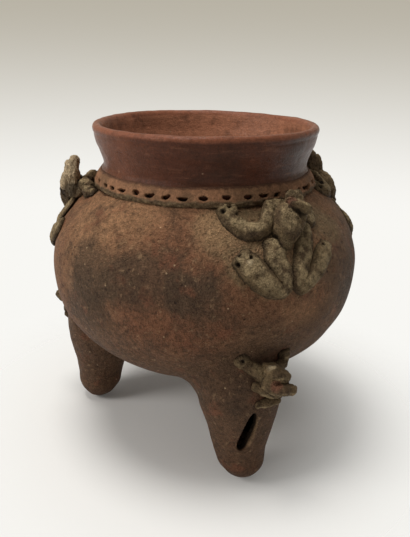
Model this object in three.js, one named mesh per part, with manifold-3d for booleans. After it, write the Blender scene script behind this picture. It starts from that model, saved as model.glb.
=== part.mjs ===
// A pottery rattle vase: a round bowl with a short flared neck on three hollow legs.
// Each leg holds loose clay pellets that rattle behind a slit.
// Small creatures of rolled clay cling to the shoulder and to the legs.
// Millimetres, +Z up, standing on z = 0. Azimuth 0 is the front, -Y, and grows towards +X.
import * as THREE from "three";
import { mergeVertices } from "three/addons/utils/BufferGeometryUtils.js";
import Module from "manifold-3d";

const wasm = await Module();
wasm.setup();

// Clearance between pieces that are luted together or that lie in each other
const clearance = 0.3;

// Bowl, a round body a little squarer than an ellipse
const bowlRadius = 60;
const bowlMidHeight = 73.5;
const bowlDepth = 45.3;
const bowlRise = 38;
const bowlSquareness = 2.2;
const bowlWall = 4.8;

// Neck, waisted near its foot and flared to a rounded lip
const neckWaistRadius = 38.9;
const neckFootSpread = 2.4;
const neckShoulderLedge = 2.2;
const neckWaistRise = 7.6;
const neckHeight = 24.1;
const lipRadius = 42.2;
const neckWall = 3.4;

// Band of clay pressed into the corner between neck and shoulder
const bandProud = 2;
const bandHeight = 7.4;
const bandEdge = 0.8;
const bandWaver = 0.45;
const punctureSpacing = 6.6;
const punctureLength = 3.4;
const punctureHeight = 1.8;
const punctureDepth = 1.6;

// Legs, swelling from a blunt foot and closing in again where they meet the bowl
const legAzimuths = [17.5, 137.5, 257.5];
const legCircle = 48.3;
const legLean = 0.08;
const legWall = 3.4;
const legSole = 11.2;
const footRadius = 2.6;
const legShankRadius = 15.6;
const legBluntness = 0.8;
const legClosing = 2.56;
const legCollarSpread = 1.3;

// Slit in the front of each leg, a leaf shape tilted by some degrees
const slitWidth = 3.4;
const slitLength = 17.5;
const slitFootRise = 6.3;
const slitShift = -3;
const slitTilt = 11.3;

// Rattle pellets
const pelletRadius = 2.6;
const pelletsPerLeg = 3;

// Creatures, as wide as from hand to hand: azimuths round the bowl, and degrees round each leg.
// Their points, widths and head rises are in hundredths of that width.
const shoulderFigureWidth = 33;
const shoulderFigures = [
  { name: "front", azimuth: 27.5, headRise: -5 },
  { name: "right", azimuth: 110, headRise: -2 },
  { name: "left", azimuth: 267.5, headRise: 0 },
];
const legFigureWidth = 20;
const legFigureTurn = 26;

// Facets
const turnSteps = 48;
const legSteps = 20;
const rollSides = 8;
const stepsPerRollPoint = 1.5;

// Fired clays
const clays = {
  body: { color: 0x6b4a38, roughness: 0.8, metalness: 0 },
  slip: { color: 0x5c2e22, roughness: 0.5, metalness: 0 },
  leg: { color: 0x5f4534, roughness: 0.85, metalness: 0 },
  figure: { color: 0x5e5240, roughness: 0.9, metalness: 0 },
  pellet: { color: 0x7a5a42, roughness: 0.9, metalness: 0 },
};

const toRadians = THREE.MathUtils.degToRad;

// A closed geometry as a solid for cutting.
function solidOf(geometry) {
  const bare = geometry.clone();
  bare.deleteAttribute("normal");
  bare.deleteAttribute("uv");
  const merged = mergeVertices(bare, 1e-4);
  return new wasm.Manifold(
    new wasm.Mesh({
      numProp: 3,
      vertProperties: merged.attributes.position.array,
      triVerts: new Uint32Array(merged.index.array),
    }),
  );
}

// A solid as a named mesh of one of the clays.
function meshOf(name, solid, clay) {
  const data = solid.getMesh();
  const geometry = new THREE.BufferGeometry();
  geometry.setAttribute("position", new THREE.BufferAttribute(data.vertProperties, 3));
  geometry.setIndex(new THREE.BufferAttribute(data.triVerts, 1));
  geometry.computeVertexNormals();
  const mesh = new THREE.Mesh(geometry, new THREE.MeshStandardMaterial(clays[clay]));
  mesh.name = name;
  return mesh;
}

// A profile of [radius, height] pairs turned about the vertical axis.
function turned(profile, steps) {
  const points = profile.map(([radius, height]) => new THREE.Vector2(radius, height));
  return new THREE.LatheGeometry(points, steps).rotateX(Math.PI / 2);
}

// Height above or below the widest ring at which the bowl's skin has this radius.
function bowlSag(radius, wide, tall) {
  const share = Math.min(1, radius / wide);
  return tall * (1 - share ** bowlSquareness) ** (1 / bowlSquareness);
}

// Radius of the bowl's outer skin at a height, measured from the table.
function bowlRadiusAt(height) {
  const offset = height - bowlMidHeight;
  const tall = offset > 0 ? bowlRise : bowlDepth;
  const share = Math.min(1, Math.abs(offset) / tall);
  return bowlRadius * (1 - share ** bowlSquareness) ** (1 / bowlSquareness);
}

// Unit normal of the bowl's outer skin at a height, as radial and upward shares.
function bowlNormalAt(height) {
  const offset = height - bowlMidHeight;
  const tall = offset > 0 ? bowlRise : bowlDepth;
  const radial = (bowlRadiusAt(height) / bowlRadius) ** (bowlSquareness - 1) / bowlRadius;
  const rise = (Math.abs(offset) / tall) ** (bowlSquareness - 1) / tall;
  return new THREE.Vector2(radial, Math.sign(offset) * rise).normalize();
}

const neckFootRadius = neckWaistRadius + neckFootSpread;
const neckBore = neckWaistRadius - neckWall;
const seatRadius = neckFootRadius + neckShoulderLedge;
const seatHeight = bowlMidHeight + bowlSag(seatRadius, bowlRadius, bowlRise);
const neckFootHeight = seatHeight + clearance;
const legRise = bowlMidHeight - bowlSag(legCircle, bowlRadius, bowlDepth);
const legTop = 1.32 * legRise;
const pelletLaneRadius = (pelletRadius + clearance / 2) / Math.sin(Math.PI / pelletsPerLeg);
const pelletNestRadius = pelletLaneRadius + pelletRadius + clearance;

// The bowl's skin from its bottom to a ring at topRadius, moved outwards by grow.
function bowlSkin(grow, topRadius, lowerSteps = 9, upperSteps = 6) {
  const wide = bowlRadius + grow;
  const points = [];
  for (let i = 0; i < lowerSteps; i += 1) {
    const radius = wide * Math.sin((i / lowerSteps) * (Math.PI / 2));
    points.push([radius, bowlMidHeight - bowlSag(radius, wide, bowlDepth + grow)]);
  }
  const topAngle = Math.acos(topRadius / wide);
  for (let i = 0; i <= upperSteps; i += 1) {
    const radius = wide * Math.cos((i / upperSteps) * topAngle);
    points.push([radius, bowlMidHeight + bowlSag(radius, wide, bowlRise + grow)]);
  }
  return points;
}

function bowlSolid() {
  const outside = bowlSkin(0, seatRadius);
  const inside = bowlSkin(-bowlWall, neckBore, 6, 4).reverse();
  return solidOf(turned([...outside, [neckBore, seatHeight], ...inside], turnSteps));
}

// The space of the bowl with its clearance, solid through, for cutting what sits on it.
function bowlSpace() {
  const outside = bowlSkin(clearance, seatRadius);
  const top = outside[outside.length - 1][1];
  return solidOf(turned([...outside, [0, top]], turnSteps));
}

// The neck's outer side from foot to lip, moved outwards by grow.
function neckSide(grow) {
  const curve = new THREE.SplineCurve([
    new THREE.Vector2(neckFootRadius, neckFootHeight),
    new THREE.Vector2(neckWaistRadius, neckFootHeight + neckWaistRise),
    new THREE.Vector2((neckWaistRadius + lipRadius) / 2, neckFootHeight + neckHeight * 0.62),
    new THREE.Vector2(lipRadius, neckFootHeight + neckHeight - neckWall / 2),
  ]);
  return curve.getPoints(6).map((point) => [point.x + grow, point.y]);
}

function neckSolid() {
  const outside = neckSide(0);
  const inside = neckSide(-neckWall).reverse();
  const half = neckWall / 2;
  const lip = [45, 90, 135].map((degrees) => [
    lipRadius - half + half * Math.cos(toRadians(degrees)),
    neckFootHeight + neckHeight - half + half * Math.sin(toRadians(degrees)),
  ]);
  inside[inside.length - 1] = [neckBore, neckFootHeight];
  return solidOf(turned([...outside, ...lip, ...inside, outside[0]], turnSteps));
}

function neckSpace() {
  const outside = neckSide(clearance);
  const top = outside[outside.length - 1][1];
  return solidOf(turned([[0, seatHeight], [outside[0][0], seatHeight], ...outside, [0, top]], turnSteps));
}

// How far the hand-laid band wanders up or down at an azimuth in radians.
function bandShift(azimuth) {
  return (bandWaver * (Math.sin(2 * azimuth + 0.6) + 0.6 * Math.sin(5 * azimuth))) / 1.6;
}

// The band as a ring: upright below, then sloping in to a thin edge on the neck.
function bandRing(grow) {
  const foot = neckFootHeight - bandWaver - grow;
  const shoulder = neckFootHeight + 0.25 * bandHeight;
  const top = neckFootHeight + bandHeight + grow;
  const proud = neckFootRadius + bandProud + grow;
  const edge = neckWaistRadius + bandEdge + grow;
  const section = [
    [neckBore, foot],
    [proud - 0.2 * bandProud, foot],
    [proud, shoulder],
    [proud - 0.3 * bandProud, punctureHeightAt(0)],
    [edge, top - bandEdge],
    [edge - bandEdge / 2, top],
    [neckBore, top],
    [neckBore, foot],
  ];
  const ring = turned(section, turnSteps);
  const place = ring.attributes.position;
  for (let i = 0; i < place.count; i += 1) {
    place.setZ(i, place.getZ(i) + bandShift(Math.atan2(place.getX(i), -place.getY(i))));
  }
  return solidOf(ring);
}

// The height of the row of punctures where the band has wandered by shift.
function punctureHeightAt(shift) {
  return neckFootHeight + 0.55 * bandHeight + shift;
}

// Leaf-shaped punctures jabbed side by side along the band.
function bandPunctures() {
  const reach = neckFootRadius + 0.7 * bandProud;
  const count = Math.round((2 * Math.PI * reach) / punctureSpacing);
  const jabs = [];
  for (let i = 0; i < count; i += 1) {
    const azimuth = (i / count) * 2 * Math.PI;
    const place = atRadius(azimuth, reach, punctureHeightAt(bandShift(azimuth)));
    const jab = new THREE.OctahedronGeometry(1, 0);
    jab.scale(punctureLength / 2, punctureDepth, punctureHeight / 2);
    jab.rotateZ(azimuth);
    jab.translate(place.x, place.y, place.z);
    jabs.push(solidOf(jab));
  }
  return jabs.reduce((all, jab) => all.add(jab));
}

// A leg's radius at a height: a quarter sine from the foot up, closing in above the bowl's underside.
function legRadiusAt(height) {
  const swell = Math.sin(Math.min(1, height / (1.05 * legRise)) * (Math.PI / 2)) ** legBluntness;
  const closing = legClosing * legShankRadius * Math.max(0, height / legRise - 1) ** 1.7;
  return footRadius + (legShankRadius - footRadius) * swell - closing;
}

// How far a leg's axis stands from the bowl's axis at a height.
function legAxisAt(height) {
  return legCircle - legLean * height;
}

// A profile turned about a leg's leaning axis and spread sideways into a collar under the bowl.
function legShape(profile) {
  const shape = turned(profile, legSteps);
  const place = shape.attributes.position;
  for (let i = 0; i < place.count; i += 1) {
    const height = place.getZ(i);
    const collar = THREE.MathUtils.smoothstep(height / legRise, 0.75, 1.1);
    place.setX(i, place.getX(i) * (1 + (legCollarSpread - 1) * collar));
    place.setY(i, place.getY(i) - legAxisAt(height));
  }
  return solidOf(shape);
}

// Heights of a leg's rings from a height to the leg's top, closer together below.
function ringHeights(from, count) {
  const heights = [];
  for (let i = 0; i <= count; i += 1) {
    heights.push(from + (legTop - from) * (i / count) ** 1.4);
  }
  return heights;
}

function legOutside(grow) {
  const sides = ringHeights(0, 11).map((height) => [legRadiusAt(height) + grow, height]);
  return legShape([[0, 0], ...sides, [0, legTop]]);
}

// The leg's hollow, never tighter than the nest that its pellets need, and open above.
function legHollow() {
  const radiusAt = (height) => Math.max(pelletNestRadius, legRadiusAt(height) - legWall);
  const sides = ringHeights(legSole, 6).map((height) => [radiusAt(height), height]);
  return legShape([[0, legSole], ...sides, [0, legTop + clearance]]);
}

// The slit's leaf, cut from the leg's axis out through its front wall.
function legSlit() {
  const outline = new THREE.Shape();
  outline.moveTo(0, 0);
  outline.quadraticCurveTo(slitWidth, 0.35 * slitLength, 0, slitLength);
  outline.quadraticCurveTo(-slitWidth, 0.35 * slitLength, 0, 0);
  const settings = { depth: 2 * legShankRadius, bevelEnabled: false, curveSegments: 5 };
  const leaf = new THREE.ExtrudeGeometry(outline, settings);
  leaf.rotateX(Math.PI / 2);
  leaf.rotateY(toRadians(slitTilt));
  leaf.translate(slitShift, -legAxisAt(slitLength), legSole + slitFootRise);
  return solidOf(leaf);
}

// Where a shoulder creature touches the bowl: across, below the neck's seat, and off the skin.
function onShoulder(across, drop, lift) {
  const unit = shoulderFigureWidth / 100;
  return offBowl(across * unit, seatHeight - drop * unit, lift * unit);
}

// A point of it that stands free of the bowl, out from the neck's seat and above it.
function byNeck(across, out, rise) {
  const unit = shoulderFigureWidth / 100;
  const radius = seatRadius + out * unit;
  return atRadius((across * unit) / radius, radius, seatHeight + rise * unit);
}

// Where a leg creature touches the bowl: across, up from where the leg meets the bowl, and off the skin.
function onBelly(across, rise, lift) {
  const unit = legFigureWidth / 100;
  const sideways = legShankRadius * Math.sin(toRadians(legFigureTurn));
  return offBowl(sideways + across * unit, legRise + rise * unit, lift * unit);
}

// A point of it off the leg's face, in degrees from its middle, in the leg's own frame.
function offLeg(degrees, rise, lift) {
  const unit = legFigureWidth / 100;
  const height = legRise + rise * unit;
  const angle = toRadians(legFigureTurn + degrees);
  const point = atRadius(angle, legRadiusAt(height) + lift * unit, height);
  return point.setY(point.y - legAxisAt(height));
}

function offBowl(across, height, lift) {
  const normal = bowlNormalAt(height);
  const radius = bowlRadiusAt(height);
  return atRadius(across / radius, radius + normal.x * lift, height + normal.y * lift);
}

function atRadius(angle, radius, height) {
  return new THREE.Vector3(radius * Math.sin(angle), -radius * Math.cos(angle), height);
}

// A rolled strip of clay: a capsule bent along a smooth path, with a width at each of its points.
// Its widths are in hundredths of the span, and flat is the thickness as a share of the width.
function roll({ points, widths, flat = 1 }, span, grow = 0) {
  const path = new THREE.CatmullRomCurve3(points);
  const length = path.getLength();
  const steps = Math.ceil(stepsPerRollPoint * (points.length - 1));
  const strip = new THREE.CapsuleGeometry(1, length, 2, rollSides, steps);
  const place = strip.attributes.position;
  const vertex = new THREE.Vector3();
  for (let i = 0; i < place.count; i += 1) {
    vertex.fromBufferAttribute(place, i);
    const along = THREE.MathUtils.clamp(vertex.y, -length / 2, length / 2);
    const share = along / length + 0.5;
    const centre = path.getPointAt(share);
    const tangent = path.getTangentAt(share);
    const outward = centre.clone().setZ(0).normalize();
    const side = tangent.clone().cross(outward).normalize();
    const off = side.clone().cross(tangent);
    const width = widthAt(widths, share) * (span / 100) + grow;
    centre.addScaledVector(tangent, (vertex.y - along) * width);
    centre.addScaledVector(side, vertex.x * width);
    centre.addScaledVector(off, vertex.z * (width * flat + grow * (1 - flat)));
    place.setXYZ(i, centre.x, centre.y, centre.z);
  }
  return solidOf(strip);
}

function widthAt(widths, share) {
  const spot = share * (widths.length - 1);
  const before = Math.min(Math.floor(spot), widths.length - 2);
  return THREE.MathUtils.lerp(widths[before], widths[before + 1], spot - before);
}

// An open mouth pressed right through the end of a head, with half its width, depth and height.
function mouth(centre, span, halves) {
  const press = new THREE.SphereGeometry(span / 100, 8, 6);
  press.scale(...halves);
  press.translate(centre.x, centre.y, centre.z);
  return solidOf(press);
}

// A creature that clings to the shoulder with its head raised beside the neck.
function shoulderRolls(headRise) {
  return {
    torso: {
      points: [onShoulder(11, 28, 2), onShoulder(13, 16, 8), byNeck(15, 23, -2)],
      widths: [10.9, 17, 16.4],
    },
    head: {
      points: [
        byNeck(15, 22, 7),
        byNeck(17, 22, 14 + headRise / 2),
        byNeck(18, 25, 22 + headRise),
      ],
      widths: [13.3, 11.5, 8.5],
      flat: 0.85,
    },
    left_arm: {
      points: [
        onShoulder(-47, 2, 2),
        onShoulder(-40, 12, 3),
        onShoulder(-28, 19, 4),
        onShoulder(-16, 18, 5),
        onShoulder(-6, 10, 7),
        byNeck(4, 10, 4),
      ],
      widths: [6.1, 7.6, 8.2, 7.6, 7, 6.7],
    },
    right_arm: {
      points: [
        onShoulder(53, 4, 2),
        onShoulder(51, 13, 3),
        onShoulder(42, 16, 5),
        onShoulder(34, 8, 8),
        byNeck(27, 10, 4),
      ],
      widths: [5.5, 6.7, 7, 6.7, 6.7],
    },
    left_leg: {
      points: [
        onShoulder(-17, 30, 2),
        onShoulder(-15, 42, 2),
        onShoulder(-13, 59, 1),
        onShoulder(-25, 58, 1),
        onShoulder(-37, 48, 1),
        onShoulder(-50, 37, 1),
      ],
      widths: [5.8, 6.1, 7.6, 9.1, 9.7, 7.9],
      flat: 0.75,
    },
    right_leg: {
      points: [
        onShoulder(27, 35, 2),
        onShoulder(16, 47, 2),
        onShoulder(7, 62, 1),
        onShoulder(21, 60, 1),
        onShoulder(33, 50, 1),
        onShoulder(48, 38, 1),
      ],
      widths: [6.1, 6.4, 7.3, 7.9, 7.9, 6.7],
      flat: 0.75,
    },
  };
}

// A creature that looks out from the top of a leg, over two strips of pressed clay.
function legRolls() {
  return {
    head: {
      points: [offLeg(10, 16, -14), offLeg(0, 25, 18), offLeg(-4, 38, 55)],
      widths: [25, 24, 17],
      flat: 0.9,
    },
    upper_strip: {
      points: [offLeg(-24, 16, 2), offLeg(-12, 7, 5), offLeg(0, 2, 6), offLeg(12, 4, 3)],
      widths: [7.5, 10, 10, 8],
    },
    lower_strip: {
      points: [offLeg(-22, -18, 0), offLeg(-12, -17, 3), offLeg(0, -15, 4), offLeg(10, -11, 2)],
      widths: [6, 8, 8.5, 6.5],
    },
    left_arm: {
      points: [onBelly(-52, 60, 3), onBelly(-38, 50, 13), offLeg(-12, 36, 12)],
      widths: [12, 13.5, 14],
    },
    right_arm: {
      points: [onBelly(42, 57, 2), onBelly(36, 45, 13), offLeg(11, 36, 22)],
      widths: [8.5, 9.5, 10],
    },
  };
}

// Each roll cut back from the pots and from the rolls before it, so that they meet at the clearance.
function fitted(rolls, span, spaces) {
  const names = Object.keys(rolls);
  return names.map((name, index) => {
    const earlier = names.slice(0, index).map((other) => roll(rolls[other], span, clearance));
    const whole = roll(rolls[name], span);
    return { name, solid: [...spaces, ...earlier].reduce((rest, space) => rest.subtract(space), whole) };
  });
}

// The creature's pieces as meshes, with the mouth pressed into its head.
function figureMeshes(owner, rolls, span, spaces, jaws) {
  return fitted(rolls, span, spaces).map(({ name, solid }) => {
    const shaped = name === "head" ? solid.subtract(jaws) : solid;
    return meshOf(`${owner}_figure_${name}`, shaped, "figure");
  });
}

const potSpaces = [bowlSpace(), neckSpace(), bandRing(clearance)];

// The pots' spaces as they lie in a frame turned to an azimuth.
function spacesFrom(azimuth) {
  return potSpaces.map((space) => space.rotate([0, 0, -azimuth]));
}

function makeShoulderFigure({ name, azimuth, headRise }) {
  const figure = new THREE.Group();
  figure.rotation.z = toRadians(azimuth);
  const jaws = mouth(byNeck(18, 27, 32 + headRise), shoulderFigureWidth, [14, 3.3, 8]);
  const rolls = shoulderRolls(headRise);
  figure.add(...figureMeshes(name, rolls, shoulderFigureWidth, spacesFrom(azimuth), jaws));
  return figure;
}

function makePellet(name, lane) {
  const ball = new THREE.SphereGeometry(pelletRadius, 10, 7).rotateX(Math.PI / 2);
  const pellet = new THREE.Mesh(ball, new THREE.MeshStandardMaterial(clays.pellet));
  pellet.name = name;
  const height = legSole + clearance + pelletRadius;
  pellet.position.copy(atRadius((lane / pelletsPerLeg) * 2 * Math.PI, pelletLaneRadius, height));
  pellet.position.y -= legAxisAt(height);
  return pellet;
}

function makeLeg(azimuth, index) {
  const name = `leg_${index + 1}`;
  const leg = new THREE.Group();
  leg.rotation.z = toRadians(azimuth);
  const spaces = spacesFrom(azimuth);
  const pot = legOutside(0).subtract(legHollow()).subtract(legSlit()).subtract(spaces[0]);
  leg.add(meshOf(name, pot, "leg"));
  for (let lane = 0; lane < pelletsPerLeg; lane += 1) {
    leg.add(makePellet(`${name}_pellet_${lane + 1}`, lane));
  }
  const jaws = mouth(offLeg(-5, 41, 72), legFigureWidth, [24, 25, 5.5]);
  const legSpaces = [...spaces, legOutside(clearance)];
  leg.add(...figureMeshes(name, legRolls(), legFigureWidth, legSpaces, jaws));
  return leg;
}

const vase = new THREE.Group();
vase.add(meshOf("bowl", bowlSolid(), "body"));
vase.add(meshOf("neck", neckSolid(), "slip"));
const band = bandRing(0).subtract(bowlSpace()).subtract(neckSpace()).subtract(bandPunctures());
vase.add(meshOf("neck_band", band, "body"));
shoulderFigures.forEach((figure) => vase.add(makeShoulderFigure(figure)));
legAzimuths.forEach((azimuth, index) => vase.add(makeLeg(azimuth, index)));

// The origin is on the table, at the middle of the whole piece's outline.
const box = new THREE.Box3().setFromObject(vase, true);
vase.position.set(-(box.min.x + box.max.x) / 2, -(box.min.y + box.max.y) / 2, 0);

const part = new THREE.Group();
part.add(vase);

export default part;
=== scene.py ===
import math

import bpy
import numpy as np
from mathutils import Matrix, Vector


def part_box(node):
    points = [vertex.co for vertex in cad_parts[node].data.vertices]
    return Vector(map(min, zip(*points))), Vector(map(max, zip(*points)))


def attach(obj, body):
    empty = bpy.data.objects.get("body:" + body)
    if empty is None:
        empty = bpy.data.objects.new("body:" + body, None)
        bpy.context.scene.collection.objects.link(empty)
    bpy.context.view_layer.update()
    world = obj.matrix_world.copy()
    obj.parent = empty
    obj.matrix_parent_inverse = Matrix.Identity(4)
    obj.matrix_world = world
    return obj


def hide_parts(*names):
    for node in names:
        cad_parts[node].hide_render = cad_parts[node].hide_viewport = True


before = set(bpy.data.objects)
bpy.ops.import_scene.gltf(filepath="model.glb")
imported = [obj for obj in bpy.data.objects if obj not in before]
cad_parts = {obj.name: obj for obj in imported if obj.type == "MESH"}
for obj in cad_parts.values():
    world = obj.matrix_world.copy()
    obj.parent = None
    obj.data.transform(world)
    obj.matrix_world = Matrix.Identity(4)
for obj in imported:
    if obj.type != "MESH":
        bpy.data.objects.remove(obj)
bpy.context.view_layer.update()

MM = 0.001

# Bowl
BOWL_RADIUS = 60.0
BOWL_MIDDLE = 73.5
BOWL_DEPTH = 45.3
BOWL_RISE = 38.0
BOWL_SQUARENESS = 2.2
BOWL_WALL = 4.8

# Neck and band
SEAT_HEIGHT = 102.5
NECK_FOOT = 39.9
NECK_WAIST = 38.9
NECK_WAIST_HEIGHT = 111.0
LIP_RADIUS = 42.5
LIP_HEIGHT = 125.6
NECK_WALL = 3.4
BAND_RADIUS = 42.5
BAND_FOOT = 102.0
BAND_TOP = 108.9
HOLE_HEIGHT = 105.7
FRONT_PUNCTURES = (-57, -50.4, -43, -33.7, -26, -17.7, -10, -0.5, 10, 20.2, 28.2, 35.8, 44, 51.7, 58, 62)

# Legs
LEG_AZIMUTHS = (17.5, 137.5, 257.5)
LEG_CIRCLE = 48.3
LEG_LEAN = 0.08
LEG_WALL = 3.4
LEG_SOLE = 11.2
LEG_RISE = 41.3
LEG_TOP = 54.0
FOOT_RADIUS = 2.6
SOLE_CLEARANCE = 0.02
FOOT_DRIFT = 1.2
SHANK_RADIUS = 15.6
JOINT_RADIUS = 6.0
NEST_RADIUS = 6.2
SLIT_FOOT = 17.5
SLIT_LENGTH = 17.5
SLIT_WIDTH = 5.2
SLIT_SHIFT = -3.3
SLIT_TILT = 11.3

# Pellets
PELLETS_PER_LEG = 3
PELLET_RADIUS = 2.6
PELLET_CLEARANCE = 0.3

# Shoulder creatures: where they sit, how much the head is raised, how wide the mouth gapes, how far the
# head leans back to the neck, how plump the lips are, how low the arms hang and how thick the hind legs are
PERCH_HEIGHT = 101.4
SHOULDER_CREATURES = {
    "front": dict(azimuth=27.5, rise=0.0, gape=1.0, lean=0.0, plump=1.0, sag=1.0, thick=1.0),
    "right": dict(azimuth=102.0, rise=3.4, gape=0.2, lean=3.4, plump=2.3, sag=0.5, thick=0.6),
    "left": dict(azimuth=267.5, rise=3.6, gape=0.0, lean=-0.9, plump=1.7, sag=0.2, thick=0.6),
}

# Leg creatures: degrees round the leg, and how far the head looks out
LEG_CREATURES = ((26.0, 1.0), (26.0, 1.0), (-6.0, 0.8))

# Light: two round lamps, with their power in watts, and the strength of the room's even light
LAMP_SIZE = 300.0
LAMPS = {
    "sky": dict(place=(-120, -20, 740), aim=(0, 0, 60), watts=2.9, color=(1, 0.98, 0.95)),
    "window": dict(place=(-550, -200, 420), aim=(0, 0, 70), watts=1.6, color=(1, 0.98, 0.96)),
}
FILL = 0.28

# Table: how far it reaches, and over which distances its surface gives way to the backdrop
TABLE_REACH = 1770.0
TABLE_FADE = (30, 135)

# Backdrop: the upward share of a line of sight at which it is still pale, and at which it is quite grey
BACKDROP_RISE = (-0.26, 0.09)

# Camera as fitted to the photograph: its place from the vase's axis, its turns down, to the right and about
# its own line of sight in degrees, and its focal length in pixels of the photograph
CAMERA_PLACE = (0, -233.5, 153.0)
CAMERA_TURNS = (20.43, 0.15, 0.94)
FOCAL_LENGTH = 602.6
PHOTO_HEIGHT = 537
SENSOR_HEIGHT = 36

low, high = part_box("bowl")
AXIS = np.array([(low.x + high.x) / 2 / MM, (low.y + high.y) / 2 / MM, 0.0])


# Numbers and shapes

def smooth(x, start, stop):
    """0 before start and 1 after stop, with an S-curve between: 3t^2 - 2t^3."""
    t = np.clip((x - start) / (stop - start), 0, 1)
    return t * t * (3 - 2 * t)


def around(azimuth, radius, height):
    """Points at an azimuth in radians from the front, a radius from the vase's axis and a height."""
    azimuth, radius, height = np.broadcast_arrays(azimuth, radius, height)
    return np.stack([radius * np.sin(azimuth), -radius * np.cos(azimuth), height], -1)


def turned(points, degrees):
    """The points turned about the vase's axis, towards growing azimuths."""
    a = math.radians(degrees)
    x, y, z = points[..., 0], points[..., 1], points[..., 2]
    return np.stack([x * math.cos(a) - y * math.sin(a), x * math.sin(a) + y * math.cos(a), z], -1)


def waver(points, size, seed):
    """Hand-made unevenness, mostly within -1 and 1: a sum of ten sine waves about size mm long, in
    directions drawn from a seed."""
    rng = np.random.default_rng(seed)
    total = np.zeros(points.shape[:-1])
    for _ in range(10):
        wave = rng.normal(size=3)
        wave *= rng.uniform(0.6, 1.5) * 2 * math.pi / (size * np.linalg.norm(wave))
        total += np.sin(points @ wave + rng.uniform(0, 2 * math.pi))
    return total / 4


def curve(knots, count):
    """Rows on a Catmull-Rom spline through the knots, all of their columns alike."""
    knots = np.asarray(knots, float)
    padded = np.vstack([2 * knots[0] - knots[1], knots, 2 * knots[-1] - knots[-2]])
    spot = np.linspace(0, len(knots) - 1, count)
    first = np.minimum(spot.astype(int), len(knots) - 2)
    t = (spot - first)[:, None]
    a, b, c, d = (padded[first + i] for i in range(4))
    return b + 0.5 * t * (c - a + t * (2 * a - 5 * b + 4 * c - d + t * (3 * (b - c) + d - a)))


def bowl_radius(height):
    """Superellipse: R (1 - |h / H|^n)^(1/n), with h measured from the widest ring."""
    rise = height - BOWL_MIDDLE
    share = np.clip(np.abs(rise) / np.where(rise > 0, BOWL_RISE, BOWL_DEPTH), 0, 1)
    return BOWL_RADIUS * (1 - share ** BOWL_SQUARENESS) ** (1 / BOWL_SQUARENESS)


def off_bowl(points):
    """Distance from the bowl's outer skin and the unit direction away from it.

    With g = ((r / R)^n + |h / H|^n)^(1/n), the distance is about (g - 1) / |gradient of g|.
    """
    n = BOWL_SQUARENESS
    radius = np.maximum(np.hypot(points[..., 0], points[..., 1]), 1e-6)
    rise = points[..., 2] - BOWL_MIDDLE
    tall = np.where(rise > 0, BOWL_RISE, BOWL_DEPTH)
    g = ((radius / BOWL_RADIUS) ** n + (np.abs(rise) / tall) ** n) ** (1 / n)
    out = g ** (1 - n) * (radius / BOWL_RADIUS) ** (n - 1) / BOWL_RADIUS
    up = g ** (1 - n) * (np.abs(rise) / tall) ** (n - 1) / tall * np.sign(rise)
    steep = np.hypot(out, up)
    away = np.stack([points[..., 0] / radius * out, points[..., 1] / radius * out, up], -1)
    return (g - 1) / steep, away / steep[..., None]


def leg_radius(height):
    """A quarter sine to the power 0.8, fuller above the rounded foot and slimmer halfway, each by a bell
    curve, and closing in below the bowl."""
    share = height / LEG_RISE
    swell = np.sin(np.clip(share / 1.05, 0, 1) * math.pi / 2) ** 0.8
    closing = 40 * np.maximum(0, share - 1) ** 1.7
    bulge = 1.9 * np.exp(-((height - 6) / 5.5) ** 2) - 0.6 * np.exp(-((height - 22) / 7) ** 2)
    rounding = 1.6 * np.exp(-(height / 1.6) ** 2)
    return FOOT_RADIUS + (SHANK_RADIUS - FOOT_RADIUS) * swell - closing + bulge - rounding


def leg_axis(height):
    """Distance of a leg's axis from the vase's: a straight line that leans in upwards."""
    return LEG_CIRCLE - LEG_LEAN * height


def off_leg(points):
    """Distance from the skin of the leg at azimuth 0, level with the point."""
    across = np.hypot(points[..., 0], points[..., 1] + leg_axis(points[..., 2]))
    return across - leg_radius(np.clip(points[..., 2], 0, LEG_TOP))


# Meshes

def shell(points, closed_rows=False):
    """Vertices and faces of a closed skin on a grid of points. Columns run round it, and rows close on
    themselves or on end points."""
    rows, columns = points.shape[:2]
    index = np.arange(rows * columns).reshape(rows, columns)
    vertices = points.reshape(-1, 3)
    if closed_rows:
        index = np.vstack([index, index[:1]])
    beside = np.roll(index, -1, axis=1)
    faces = np.stack([index[:-1], beside[:-1], beside[1:], index[1:]], -1).reshape(-1, 4).tolist()
    if not closed_rows:
        start, stop = len(vertices), len(vertices) + 1
        vertices = np.vstack([vertices, points[0].mean(0), points[-1].mean(0)])
        faces += [[b, a, start] for a, b in zip(index[0], beside[0])]
        faces += [[a, b, stop] for a, b in zip(index[-1], beside[-1])]
    if volume(vertices, faces) < 0:
        faces = [face[::-1] for face in faces]
    return vertices, faces


def volume(vertices, faces):
    """Six times the signed volume: the sum of corner products over the faces as fans."""
    fans = np.array([(f[0], f[i], f[i + 1]) for f in faces for i in range(1, len(f) - 1)])
    a, b, c = (vertices[fans[:, i]] for i in range(3))
    return float(np.einsum("ij,ij->", a, np.cross(b, c)))


def mesh_of(name, shells):
    """One mesh of some shells in millimetres about the vase's axis."""
    vertices, faces, count = [], [], 0
    for points, polygons in shells:
        vertices.append(points)
        faces += [[corner + count for corner in face] for face in polygons]
        count += len(points)
    mesh = bpy.data.meshes.new(name)
    mesh.from_pydata(((np.vstack(vertices) + AXIS) * MM).tolist(), [], faces)
    mesh.update()
    return mesh


def linked(name, data):
    """A new object of the scene that holds a mesh, a lamp or a lens."""
    made = bpy.data.objects.new(name, data)
    bpy.context.scene.collection.objects.link(made)
    return made


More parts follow.
